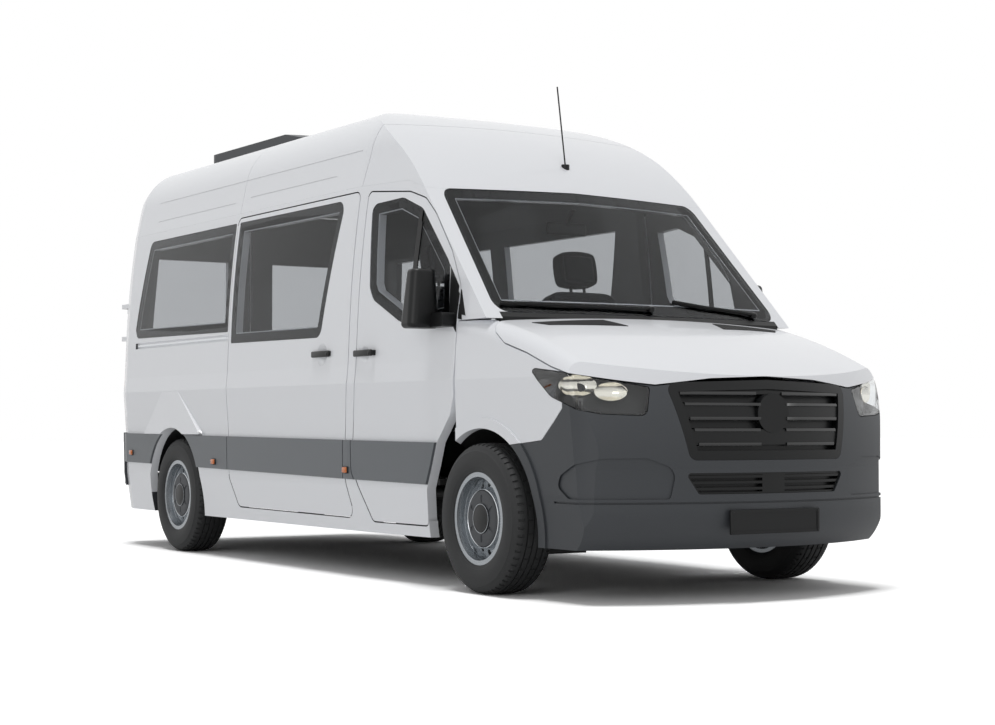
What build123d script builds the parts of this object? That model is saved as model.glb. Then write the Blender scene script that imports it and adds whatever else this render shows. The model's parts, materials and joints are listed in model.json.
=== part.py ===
"""High-roof panel van with side windows, built as an assembly of separate panels, doors and running gear.

Millimetres, +X forward, +Y to the van's left, +Z up. Stations along X are measured from the front axle
while modelling; export moves them so that the origin lies on the ground under the middle of the van.
"""

from build123d import *
from functools import cache
from math import atan2, cos, radians, sin, sqrt, tan
import os

# Overall sizes
LENGTH = 5792.0
FRONT_OVERHANG = 1017.0
WHEELBASE = 3665.0
ORIGIN_STATION = FRONT_OVERHANG - LENGTH / 2
REAR_END = FRONT_OVERHANG - LENGTH
REAR_AXLE = -WHEELBASE

# Body shell
WALL = 50.0
NOSE_WALL = 36.0
LIP = 9.0
TRIM_SINK = 8.0
GAP = 7.0
SEAT_GAP = 0.3
SEAM_GAP = 4.0
LINE_DEPTH = 1.6
LINE_HALF = 3.0
GLASS_T = 5.0
GLASS_SINK = 0.6
SEAL_T = 3.0
SEAL_TOP = GLASS_SINK + GLASS_T + 0.1
REBATE = SEAL_TOP + SEAL_T + SEAT_GAP
BORDER = 60.0
DISH_R = 130.0
DISH_DEPTH = 18.0
FAR = 3000.0

# Body section: height, half width along the load space, half width projected to the nose station
NOSE_STATION = 1100.0
TAPER_STATION = -1262.0
SECTION = [
    (240.0, 945.0, 850.0),    # sill foot
    (480.0, 980.0, 880.0),    # sill top
    (760.0, 986.0, 890.0),    # lower panel
    (1015.0, 1006.0, 896.0),  # waist crest
    (1110.0, 998.0, 888.0),   # waist crease
    (1330.0, 990.0, 878.0),   # belt
    (2060.0, 925.0, 690.0),   # gutter
    (2255.0, 885.0, 645.0),   # roof shoulder
]
FOOT_Z = SECTION[0][0]
ROOF_Z = 2565.0
ROOF_CORNER_R = 330.0
ROOF_EDGE_SLOPE = 8.0
BELT_BULGE = 10.0
REAR_FACE = REAR_END + 55.0
REAR_ROUND = 260.0

# Windscreen and roof cap
SCREEN_X, SCREEN_Z = 75.0, 1330.0
SCREEN_TOP_Z = 2015.0
SCREEN_RAKE = 45.5
SCREEN_PLAN_R = 6200.0

# Bonnet and nose
BONNET_FRONT = (950.0, 1020.0)
BONNET_REAR = (75.0, 1322.0)
BONNET_BULGE = 32.0
BONNET_PLAN_R = 2950.0
SHOULDER_R = 90.0
NOSE_X = 1012.0
NOSE_PLAN_R = 1780.0
NOSE_CORNER_R = 230.0

# Door mirrors
MIRROR_FOOT = 1268.0
MIRROR_H = 292.0

# Wheels
TYRE_R = 356.0
TYRE_W = 235.0
RIM_R = 203.2
RIM_HOLES = 16
HUB_Z = TYRE_R
TRACK = 1712.0
ARCH_R = 425.0
KINGPIN_Y = 770.0

# Floors and rear door hinges
LOAD_Z = 630.0
LOAD_T = 40.0
CAB_Z = 530.0
FLOOR_T = 30.0
STEP_X = -1150.0
SCUTTLE_Y = 846.0
SCUTTLE_Z = 1238.0
RAIL_INNER = 365.0
RAIL_W = 70.0
RAIL_H = 80.0
RAIL_FRONT = 820.0
RAIL_TOP = CAB_Z - FLOOR_T
LEAF_END_Z = 530.0
LEAF_T = 30.0
AXLE_PAD = 62.0
HOUSING_T = 6.0
HOUSING_GAP = 2.0
REAR_HINGE = (REAR_FACE - 10.0, 880.0)
HINGE_CLEAR = 150.0
HINGE_R = 12.0
HINGE_H = 30.0
HINGE_FEET = (1340.0, 1560.0)

NODES = {}


def node(name, shape):
    """Keep one finished piece under its name."""
    NODES[name] = shape


def mirrored(shape):
    return mirror(shape, about=Plane.XZ)


def rounded(points):
    """Face from corner points (u, v, radius); a radius of 0 leaves the corner sharp."""
    face = make_face(Polyline(*[(u, v) for u, v, r in points], close=True))
    for u, v, r in points:
        if r:
            corner = face.vertices().sort_by_distance(Vector(u, v, 0))[0]
            face = fillet(corner, r)
    return face


def side_prism(points, y0, y1, grow=0.0):
    """Outline in side view (x, z, radius), swept between two planes across the van."""
    face = rounded(points)
    if grow:
        face = offset(face, grow)
    placed = Plane((0, y0, 0), x_dir=(1, 0, 0), z_dir=(0, -1, 0)) * face
    return extrude(placed, y1 - y0, dir=(0, 1, 0))


def front_prism(points, x0, x1, grow=0.0):
    """Outline in front view (y, z, radius), swept between two stations."""
    face = rounded(points)
    if grow:
        face = offset(face, grow)
    placed = Plane((x0, 0, 0), x_dir=(0, 1, 0), z_dir=(1, 0, 0)) * face
    return extrude(placed, x1 - x0, dir=(1, 0, 0))


def plan_prism(points, z0, z1, grow=0.0):
    """Outline in plan (x, y, radius), swept between two heights."""
    face = rounded(points)
    if grow:
        face = offset(face, grow)
    return extrude(Pos(0, 0, z0) * face, z1 - z0, dir=(0, 0, 1))


def block(x0, x1, y0, y1, z0, z1):
    return Pos((x0 + x1) / 2, (y0 + y1) / 2, (z0 + z1) / 2) * Box(x1 - x0, y1 - y0, z1 - z0)


def rod_y(x, y0, y1, z, radius):
    return Pos(x, (y0 + y1) / 2, z) * Rot(90, 0, 0) * Cylinder(radius, abs(y1 - y0))


def circle_through(a, b, c):
    """Centre of the circle through three points."""
    d = 2 * (a[0] * (b[1] - c[1]) + b[0] * (c[1] - a[1]) + c[0] * (a[1] - b[1]))
    squares = [q[0] ** 2 + q[1] ** 2 for q in (a, b, c)]
    u = (squares[0] * (b[1] - c[1]) + squares[1] * (c[1] - a[1]) + squares[2] * (a[1] - b[1])) / d
    v = (squares[0] * (c[0] - b[0]) + squares[1] * (a[0] - c[0]) + squares[2] * (b[0] - a[0])) / d
    return u, v


def unit(u, v):
    size = sqrt(u * u + v * v)
    return u / size, v / size


def moved_in(point, first, second, inset):
    """Corner between two faces with outward normals first and second, after both move in by inset."""
    mid = unit(first[0] + second[0], first[1] + second[1])
    reach = inset / (mid[0] * first[0] + mid[1] * first[1])
    return point[0] - mid[0] * reach, point[1] - mid[1] * reach


def line_normal(a, b):
    return unit(b[1] - a[1], a[0] - b[0])


def chain_in(points, inset, foot):
    """Open chain of lines going up one side, moved in by inset and started at the foot height."""
    normals = [line_normal(points[i], points[i + 1]) for i in range(len(points) - 1)]
    moved = [moved_in(points[0], normals[0], normals[0], inset)]
    for i in range(1, len(points) - 1):
        moved.append(moved_in(points[i], normals[i - 1], normals[i], inset))
    moved.append(moved_in(points[-1], normals[-1], normals[-1], inset))
    (y0, z0), (y1, z1) = moved[0], moved[1]
    moved[0] = (y0 + (foot - z0) * (y1 - y0) / (z1 - z0), foot)
    return moved


def section_face(station, column, inset, foot, pull=0.0):
    """Closed cross-section at a station; pull narrows and lowers it, inset then moves the whole outline in."""
    rows = [(row[column] - pull, row[0]) for row in SECTION]
    (gy, gz), (sy, sz) = rows[-2], rows[-1]
    lean = atan2(gy - sy, sz - gz)
    corner_r = ROOF_CORNER_R - pull
    crown_end = radians(90 - ROOF_EDGE_SLOPE)
    centre = (sy - corner_r * cos(lean), sz - corner_r * sin(lean))
    turned = lambda a, r: (centre[0] + r * cos(a), centre[1] + r * sin(a))
    belt, gutter = rows[5], rows[6]
    belt_mid = ((belt[0] + gutter[0]) / 2 + BELT_BULGE, (belt[1] + gutter[1]) / 2)
    bow = circle_through(belt, belt_mid, gutter)
    out = [unit(q[0] - bow[0], q[1] - bow[1]) for q in (belt, belt_mid, gutter)]
    lower = chain_in(rows[:6], inset, foot)
    lower[5] = moved_in(belt, line_normal(rows[4], rows[5]), out[0], inset)
    shoulder_n = line_normal(gutter, rows[7])
    new_mid = moved_in(belt_mid, out[1], out[1], inset)
    new_gutter = moved_in(gutter, out[2], shoulder_n, inset)
    new_shoulder = turned(lean, corner_r - inset)
    new_edge = turned(crown_end, corner_r - inset)
    half = [Line(lower[i], lower[i + 1]) for i in range(5)]
    half += [ThreePointArc(lower[5], new_mid, new_gutter), Line(new_gutter, new_shoulder)]
    half += [ThreePointArc(new_shoulder, turned((lean + crown_end) / 2, corner_r - inset), new_edge)]
    crown = ThreePointArc(new_edge, (0, ROOF_Z - pull - inset), (-new_edge[0], new_edge[1]))
    other = [edge.mirror(Plane.YZ) for edge in half]
    base = Line((-lower[0][0], lower[0][1]), lower[0])
    face = make_face([*half, crown, *other, base])
    return Plane((station, 0, 0), x_dir=(0, 1, 0), z_dir=(1, 0, 0)) * face


@cache
def hull(inset, foot):
    """Sides and roof from the rounded rear end to the nose station."""
    round_r = REAR_ROUND - inset
    sections = []
    for turn in (0, 30, 60, 90):
        station = REAR_FACE + inset + round_r * (1 - cos(radians(turn)))
        pull = round_r * (1 - sin(radians(turn)))
        sections.append(section_face(station, 1, inset, foot, pull))
    sections.append(section_face(TAPER_STATION, 1, inset, foot))
    sections.append(section_face(NOSE_STATION, 2, inset, foot))
    return loft(sections, ruled=True)


def screen_cutter(inset):
    """Space in front of the windscreen and over the roof cap, pulled in by inset."""
    rake = radians(SCREEN_RAKE)
    normal = (sin(rake), cos(rake))
    top = (SCREEN_X - (SCREEN_TOP_Z - SCREEN_Z) / tan(rake), SCREEN_TOP_Z)
    last = radians(0.5)
    cap_r = (ROOF_Z + 6 - SCREEN_TOP_Z) / (cos(last) - cos(rake))
    centre = (top[0] - cap_r * normal[0], top[1] - cap_r * normal[1])
    arc_r = cap_r - inset
    on_cap = lambda a: (centre[0] + arc_r * sin(a), centre[1] + arc_r * cos(a))
    start = on_cap(rake)
    low = (start[0] + 1900 * cos(rake), start[1] - 1900 * sin(rake))
    end = on_cap(last)
    edges = [Line(low, start), ThreePointArc(start, on_cap((rake + last) / 2), end)]
    edges += [Polyline(end, (end[0], FAR + 400), (FAR, FAR + 400), (FAR, low[1]), low)]
    face = Plane.XZ * make_face(edges)
    axis_x = SCREEN_X - SCREEN_PLAN_R
    turned = revolve(face, Axis((axis_x, 0, 0), (0, 0, 1)), 40)
    return Pos(axis_x, 0, 0) * Rot(0, 0, -20) * Pos(-axis_x, 0, 0) * turned


@cache
def greenhouse(inset, foot=FOOT_Z):
    return hull(inset, foot) - screen_cutter(inset)


def bonnet_block(inset):
    """Everything under the crowned bonnet surface."""
    (x1, z1), (x0, z0) = BONNET_FRONT, BONNET_REAR
    chord = sqrt((x1 - x0) ** 2 + (z1 - z0) ** 2)
    radius = chord ** 2 / (8 * BONNET_BULGE) + BONNET_BULGE / 2
    normal = ((z0 - z1) / chord, (x1 - x0) / chord)
    drop = radius - BONNET_BULGE
    centre = ((x0 + x1) / 2 - normal[0] * drop, (z0 + z1) / 2 - normal[1] * drop)
    arc_r = radius - inset
    at_x = lambda x: (x, centre[1] + sqrt(arc_r ** 2 - (x - centre[0]) ** 2))
    arc = ThreePointArc(at_x(1500), at_x(500), at_x(-700))
    rest = Polyline(at_x(-700), (-700, 50), (1500, 50), at_x(1500))
    axis_x = BONNET_FRONT[0] - BONNET_PLAN_R
    turned = revolve(Plane.XZ * make_face([arc, rest]), Axis((axis_x, 0, 0), (0, 0, 1)), 120)
    return Pos(axis_x, 0, 0) * Rot(0, 0, -60) * Pos(-axis_x, 0, 0) * turned


def front_block(inset):
    """Everything behind the curved front face."""
    face_x = NOSE_X - inset
    low_x, brow_x = face_x - 87, face_x - 67
    low = ThreePointArc((low_x, 236), (face_x - 27, 315), (face_x - 2, 430))
    up = Line((face_x - 2, 430), (face_x, 600))
    brow = ThreePointArc((face_x, 600), (face_x - 14, 850), (brow_x, 1035))
    rest = Polyline((brow_x, 1035), (face_x - 112, 1150), (face_x - 112, 1600), (-760, 1600), (-760, 120),
                    (face_x - 112, 120), (low_x, 236))
    axis_x = NOSE_X - NOSE_PLAN_R
    turned = revolve(Plane.XZ * make_face([low, up, brow, rest]), Axis((axis_x, 0, 0), (0, 0, 1)), 120)
    return Pos(axis_x, 0, 0) * Rot(0, 0, -60) * Pos(-axis_x, 0, 0) * turned


def corner_block(inset):
    """Plan outline of the nose with rounded corners."""
    slope = (SECTION[3][1] - SECTION[3][2]) / (NOSE_STATION - TAPER_STATION)
    side_y = lambda x: SECTION[3][1] + 4 - inset - slope * (x - TAPER_STATION)
    axis_x = NOSE_X - NOSE_PLAN_R
    radius = NOSE_PLAN_R + 6 - inset
    corner_x = axis_x + sqrt(radius ** 2 - side_y(760) ** 2)
    corner = (corner_x, side_y(corner_x))
    rear = (-900, side_y(-900))
    arc = ThreePointArc(corner, (axis_x + radius, 0), (corner[0], -corner[1]))
    rest = Polyline((corner[0], -corner[1]), (rear[0], -rear[1]), rear, corner)
    face = make_face([arc, rest])
    ends = face.vertices().sort_by(Axis.X)[-2:]
    face = fillet(ends, NOSE_CORNER_R - inset)
    return extrude(Pos(0, 0, 60) * face, 1600, dir=(0, 0, 1))


def nose_hull(inset, foot):
    """Tapered wings with plain upper sides, so that the bonnet shoulder can be rounded."""
    sections = []
    for station in (-900, NOSE_STATION):
        part = (station - TAPER_STATION) / (NOSE_STATION - TAPER_STATION)
        rows = [(row[1] + (row[2] - row[1]) * part, row[0]) for row in SECTION[:4]]
        rows.append((rows[3][0] - 30, 1500))
        side = chain_in(rows, inset, foot)
        outline = [*side, *[(-y, z) for y, z in reversed(side)]]
        face = make_face(Polyline(*outline, close=True))
        sections.append(Plane((station, 0, 0), x_dir=(0, 1, 0), z_dir=(1, 0, 0)) * face)
    return loft(sections, ruled=True)


@cache
def nose(inset, foot=FOOT_Z):
    body = nose_hull(inset, foot) & bonnet_block(inset)
    edges = [e for e in body.edges() if e.length > 250 and abs(e.center().Y) > 700 and e.center().Z > 1030]
    edges = [e for e in edges if abs(e.tangent_at(0.5).X) > 0.8]
    body = fillet(edges, max(SHOULDER_R - inset, 25))
    return body & front_block(inset) & corner_block(inset)


# Outlines in side view: x, z, corner radius
DOOR_FRONT = [
    (-525, 300, 30), (-500, 480, 60), (-445, 600, 60), (-400, 712, 60), (-272, 847, 80), (-236, 940, 60),
    (-224, 1240, 60),
]
FRONT_DOOR = [
    (-1060, 300, 40), *DOOR_FRONT, (-212, 1463, 100), (-329, 1648, 150), (-515, 1850, 150), (-625, 1938, 100),
    (-775, 1985, 100), (-1158, 2022, 30), (-1166, 1033, 0), (-1222, 700, 100), (-1222, 560, 100),
]
FRONT_PANE = [
    (-290, 1318, 25), (-640, 1290, 80), (-760, 1325, 60), (-1020, 1445, 60), (-1062, 1510, 40), (-1112, 1950, 50),
    (-830, 1962, 100), (-640, 1890, 100), (-330, 1585, 100),
]
SLIDING_DOOR = [
    (-1244, 2030, 40), (-1256, 1033, 0), (-1314, 700, 100), (-1318, 520, 80), (-1250, 312, 50), (-2720, 318, 50),
    (-2812, 490, 80), (-2796, 2030, 40),
]
SLIDING_PANE = [(-1400, 2000, 60), (-1590, 1272, 70), (-2774, 1284, 12), (-2770, 2005, 12)]
QUARTER_PANE = [(-2822, 2005, 12), (-2824, 1354, 12), (-4340, 1372, 60), (-4185, 2005, 60)]
WING_REAR = [(DOOR_FRONT[0][0] + GAP, 200, 0), *[(x + GAP, z, r) for x, z, r in DOOR_FRONT],
             (DOOR_FRONT[-1][0] + GAP, 1303, 0)]
BONNET_SIDE = [(40, 1303, 0), (100, 1235, 30), (190, 1180, 60), (370, 1130, 0), (560, 1062, 0), (886, 972, 0)]
BUMPER_TOP = [(0, 690, 0), (200, 700, 0), (480, 726, 40), (585, 815, 40), (645, 870, 0)]
ROOF_SPLIT = [(-1245, 1900, 0), (-1237, 2062, 0), (-1210, 2239, 0), (-1198, 2700, 0)]
# Pressed lines in the roof sides: rear station, front station, height
ROOF_LINES = [(-4150, -1300, 2262), (-4120, -2900, 2135), (-2680, -1560, 2150)]
ROOF_JOINT = -2790.0
SHIELD = [(-455, 742, 0), (-150, 1008, 60), (110, 1008, 60), (455, 742, 0)]
RAIL_SLOT = (-4318, -2822, 1300, 1338)
# Door handles on the right side: station, height
HANDLES = {"sliding": (-1560, 1180), "front": (-1072, 1170)}
ROOF_SEAM = [(-5500, 2062, 0), (-1250, 2062, 0), (-800, 2050, 100), (-640, 1996, 0), (600, 1996, 0)]
MOULDING = [(-5500, 566, 0), (-5500, 752, 0), (600, 703, 0), (600, 490, 0)]

# Outlines in front or rear view: y, z, corner radius
SCREEN = [(-861, 1337, 60), (861, 1337, 60), (789, 1996, 60), (0, 2016, 0), (-789, 1996, 60)]
GRILLE = [(-438, 640, 40), (438, 640, 40), (524, 985, 40), (0, 1002, 0), (-524, 985, 40)]
GRILLE_FRAME = 42.0
GRILLE_BACK = NOSE_WALL
GRILLE_BARS = [(708, 777), (823, 892), (936, 990)]
BADGE_Z, BADGE_R = 850.0, 90.0
INTAKE_BARS = (512, 540, 566)
SENSOR_HALF = 65.0
INTAKE = [(-397, 488, 15), (397, 488, 15), (462, 583, 15), (-462, 583, 15)]
REAR_DOOR = [(4, 480, 20), (868, 480, 60), (868, 1330, 200), (806, 2060, 200), (770, 2292, 90), (4, 2292, 20)]
REAR_PANE = [(110, 1345, 60), (800, 1345, 60), (742, 2000, 60), (110, 2000, 60)]

# Headlamp outline seen along its own facing direction: distance along the lamp, z, corner radius
LAMP_FACING = 32.0
LAMP = [
    (-572, 1056, 12), (-537, 1000, 40), (-480, 925, 60), (-371, 866, 60), (-265, 846, 30), (-60, 838, 30),
    (-46, 964, 15),
]
POCKET = [
    (-405, 468, 20), (-452, 520, 40), (-440, 572, 40), (-382, 622, 60), (-262, 648, 60), (-60, 650, 60),
    (75, 600, 60), (45, 468, 20),
]


def lamp_prism(grow=0.0, points=LAMP):
    """Outline on the right front corner swept along the direction that the headlamp faces."""
    turn = radians(LAMP_FACING)
    facing = Vector(cos(turn), -sin(turn), 0)
    along = Vector(sin(turn), cos(turn), 0)
    face = rounded(points)
    if grow:
        face = offset(face, grow)
    placed = Plane(facing * 420, x_dir=along, z_dir=facing) * face
    return extrude(placed, 900, dir=facing)


def both(shape):
    return [shape, mirrored(shape)]


def joined(pieces):
    """Several loose solids kept as one node."""
    solids = []
    for piece in pieces:
        solids += piece.solids()
    return solids[0] if len(solids) == 1 else Compound(solids)


def largest(shape):
    return max(shape.solids(), key=lambda solid: solid.volume)


def cut(shape, *tools):
    flat = []
    for tool in tools:
        flat += tool if isinstance(tool, list) else [tool]
    return shape - flat


def arch(x, grow=0.0, inner=560.0):
    return [rod_y(x, side * inner, side * 1300, HUB_Z, ARCH_R + grow) for side in (1, -1)]


def above(line, y_half=1400.0, top=3400.0):
    """Everything over a line drawn in side view."""
    return side_prism([(line[0][0], top, 0), *line, (line[-1][0], top, 0)], -y_half, y_half)


def rear_hinges(on_door):
    """Door or body halves of the right rear door's hinges, stacked along one axis."""
    x, y = REAR_HINGE
    halves = []
    for foot in HINGE_FEET:
        low = foot if on_door else foot + HINGE_H + SEAT_GAP
        half = Pos(x, -y, low + HINGE_H / 2) * Cylinder(HINGE_R, HINGE_H)
        if on_door:
            half += block(x - 8, x + 14, -y, 100 - y, low, low + HINGE_H)
            half += block(x - 8, x + 60, 40 - y, 100 - y, low, low + HINGE_H)
        else:
            half += block(x - 8, x + 180, -y - 50, -y - 6, low, low + HINGE_H)
        halves.append(half - greenhouse(5))
    return halves


def make_body():
    """Roof, sides, doors and glass from one shell; the left half mirrors the right one."""
    shell = greenhouse(0) - greenhouse(WALL, FOOT_Z - 80)
    under_glass = greenhouse(REBATE)
    pane_layer = greenhouse(GLASS_SINK) - greenhouse(GLASS_SINK + GLASS_T)
    seal_layer = greenhouse(SEAL_TOP) - greenhouse(SEAL_TOP + SEAL_T)
    screen = front_prism(SCREEN, -760, 300)
    node("windscreen", pane_layer & screen)
    screen_seal = largest(seal_layer & (screen - front_prism(SCREEN, -770, 310, 6 - BORDER)))
    shell = shell - (front_prism(SCREEN, -760, 300, 1.5) - under_glass)
    shell = shell - front_prism(SCREEN, -770, 300, -BORDER)

    rear_door = mirrored(front_prism(REAR_DOOR, REAR_FACE - 100, REAR_FACE + 190))
    rear_hole = mirrored(front_prism(REAR_DOOR, REAR_FACE - 110, REAR_FACE + 200, GAP))
    seam_cut = above([(x, z - SEAT_GAP, r) for x, z, r in ROOF_SEAM])
    roof = cut(shell & above(ROOF_SEAM), rear_hole, mirrored(rear_hole))
    ahead = side_prism([*ROOF_SPLIT, (500, 2700, 0), (500, 1900, 0)], -1400, 1400)
    behind = side_prism([*ROOF_SPLIT, (-6000, 2700, 0), (-6000, 1900, 0)], -1400, 1400)
    node("roof_cap", largest(roof & (Pos(SEAM_GAP, 0, 0) * ahead)))
    press = hull(-1, FOOT_Z) - hull(LINE_DEPTH, FOOT_Z - 60)
    lines = [press & block(x0, x1, -FAR, FAR, z - LINE_HALF, z + LINE_HALF) for x0, x1, z in ROOF_LINES]
    groove = hull(-1, FOOT_Z) - hull(SEAM_GAP, FOOT_Z - 60)
    joint = groove & block(ROOF_JOINT, ROOF_JOINT + SEAM_GAP, -FAR, FAR, 0, FAR)
    node("roof", largest(cut(roof & behind, lines, joint)))

    scuttle = shell & block(-200, 500, -SCUTTLE_Y, SCUTTLE_Y, SCUTTLE_Z, 1334)
    front_edge = Pos(SCREEN_X - SCREEN_PLAN_R, 0, 1000) * Cylinder(SCREEN_PLAN_R + 18, 2000)
    node("scuttle", scuttle & front_edge)

    half = shell & block(-6000, 3000, -1400, -3, 0, 3000)
    outline = rounded([(x + REAR_AXLE, z, r) for x, z, r in SHIELD])
    placed = lambda face, y: Plane((0, y, 0), x_dir=(1, 0, 0), z_dir=(0, -1, 0)) * face
    shield = loft([placed(offset(outline, 22), -950), placed(outline, -1007)], ruled=True)
    half = half + cut(shield, greenhouse(2), side_prism(MOULDING, -1400, -600, SEAT_GAP))
    half = cut(half, arch(REAR_AXLE), arch(0, 20))
    x0, x1, z0, z1 = RAIL_SLOT
    slot = (hull(-1, FOOT_Z) - hull(14, FOOT_Z - 60)) & block(x0, x1, -FAR, 0, z0, z1)
    dish_y = -SECTION[4][1] - DISH_R + DISH_DEPTH
    dishes = {name: Pos(x, dish_y, z) * Sphere(DISH_R) for name, (x, z) in HANDLES.items()}
    lamp = largest(half & block(REAR_FACE - 50, REAR_FACE + 145.7, -1100, -883.3, 751.3, 1306.7))
    node("tail_lamps", joined(both(lamp)))
    front_door = largest(half & side_prism(FRONT_DOOR, -1300, -600)) - dishes["front"]
    sliding_door = largest(half & side_prism(SLIDING_DOOR, -1300, -700)) - dishes["sliding"]
    back_door = largest(half & rear_door)
    for hinge in rear_hinges(True):
        back_door = largest(back_door + hinge)
    wing_space = side_prism([*WING_REAR, (1300, 1303, 0), (1300, 200, 0)], -1300, 1300)
    panel = cut(half, seam_cut, rear_hole, wing_space, block(-200, 1300, -SCUTTLE_Y - SEAT_GAP, 0, 100, 1336))
    panel = cut(panel, block(REAR_FACE - 60, REAR_FACE + 146, -1100, -883, 751, 1307))
    panel = largest(cut(panel, side_prism(FRONT_DOOR, -1300, -600, GAP)))
    for hinge in rear_hinges(False):
        panel = largest(panel + hinge)
    right_panel = largest(cut(panel, side_prism(SLIDING_DOOR, -1300, -700, GAP), slot))

    def glazed(piece, *outlines):
        for outline in outlines:
            piece = piece - (outline(1.5) - under_glass)
            piece = piece - outline(-BORDER)
        return largest(piece)

    front_pane = lambda g: side_prism(FRONT_PANE, -1300, -700, g)
    sliding_pane = lambda g: side_prism(SLIDING_PANE, -1300, -700, g)
    quarter_pane = lambda g: side_prism(QUARTER_PANE, -1300, -700, g)
    rear_pane = lambda g: mirrored(front_prism(REAR_PANE, REAR_FACE - 100, REAR_FACE + 120, g))
    node("front_door_right", glazed(front_door, front_pane))
    node("front_door_left", mirrored(NODES["front_door_right"]))
    node("sliding_door", glazed(sliding_door, sliding_pane))
    node("rear_door_right", glazed(back_door, rear_pane))
    node("rear_door_left", mirrored(NODES["rear_door_right"]))
    node("side_panel_right", glazed(right_panel, quarter_pane))
    node("side_panel_left", mirrored(glazed(panel, quarter_pane, sliding_pane)))
    node("front_door_glass_right", largest(pane_layer & front_pane(0)))
    node("front_door_glass_left", mirrored(NODES["front_door_glass_right"]))
    sliding_glass = largest(pane_layer & sliding_pane(0))
    node("rear_door_glass_right", largest(pane_layer & rear_pane(0)))
    node("rear_door_glass_left", mirrored(NODES["rear_door_glass_right"]))

    def seal(outline):
        return largest(seal_layer & (outline(0) - outline(6 - BORDER)))

    sliding_seal, quarter_seal = seal(sliding_pane), seal(quarter_pane)
    node("window_seals", joined([screen_seal, *both(sliding_seal), *both(quarter_seal)]))
    node("front_door_seal_right", seal(front_pane))
    node("front_door_seal_left", mirrored(NODES["front_door_seal_right"]))
    node("rear_door_seal_right", seal(rear_pane))
    node("rear_door_seal_left", mirrored(NODES["rear_door_seal_right"]))
    quarter = largest(pane_layer & quarter_pane(0))
    node("side_glass", joined([*both(quarter), *both(sliding_glass)]))


def make_nose():
    outer = nose(0)
    shell = outer - nose(NOSE_WALL, FOOT_Z - 60)
    lips = [rod_y(0, side * 700, side * 1300, HUB_Z, ARCH_R + 52) for side in (1, -1)]
    lip_skin = nose(-LIP) - nose(TRIM_SINK)
    for lip in lips:
        shell = shell + largest(lip_skin & lip)
    shell = cut(shell, arch(0))
    bonnet_line = [*BONNET_SIDE, (1300, 858, 0)]
    brow = front_prism([(-1100, 1018 - 46 * (1100 / 606) ** 2, 0), (-606, 972, 0), (-300, 1007, 0), (0, 1019, 0),
                        (300, 1007, 0), (606, 972, 0), (1100, 1018 - 46 * (1100 / 606) ** 2, 0),
                        (1100, 1600, 0), (-1100, 1600, 0)], -800, 1300)
    back = Pos(SCREEN_X - SCREEN_PLAN_R, 0, 1000) * Cylinder(SCREEN_PLAN_R + 28, 2000)
    bonnet = cut((shell & above(bonnet_line)) & brow, back)
    node("bonnet", bonnet)
    lowered = [(x, z - GAP, r) for x, z, r in bonnet_line]
    brow_gap = Pos(0, 0, -GAP) * brow
    keep_out = above([(-900, 1303, 0), *lowered]) & brow_gap
    lamps = both(lamp_prism())
    lamp_holes = both(lamp_prism(3))
    deep = nose(75, FOOT_Z - 60)
    lens = cut((outer - deep) & lamps[0], keep_out)
    flange = cut((nose(NOSE_WALL + SEAT_GAP, FOOT_Z - 60) - deep) & lamp_prism(14), keep_out)
    node("headlamps", joined(both(largest(lens + flange))))
    wing_rear = [*WING_REAR, (1300, 1303, 0), (1300, 200, 0)]
    bumper_space = [*BUMPER_TOP, (645, 1400, 0), (1300, 1400, 0), (1300, 200, 0), (0, 200, 0)]
    wings = cut(shell & side_prism(wing_rear, -1300, 1300), keep_out, lamp_holes,
                side_prism(bumper_space, -1300, 1300, 2.5), block(-400, 300, -868, 868, 1150, 1400))
    node("wings", wings)
    openings = [front_prism(GRILLE, 700, 1300, 1), front_prism(INTAKE, 700, 1300)]
    bumper = cut(shell & side_prism(bumper_space, -1300, 1300), keep_out, lamp_holes, openings)
    press = nose(-LIP) - nose(TRIM_SINK)
    crease = press & block(560, 1300, -FAR, FAR, 446, 455)
    right = largest(cut(bumper, crease, press & lamp_prism(0, POCKET)) & block(-900, 1300, -FAR, 0, 0, FAR))
    node("front_bumper", largest(right + mirrored(right)))


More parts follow.
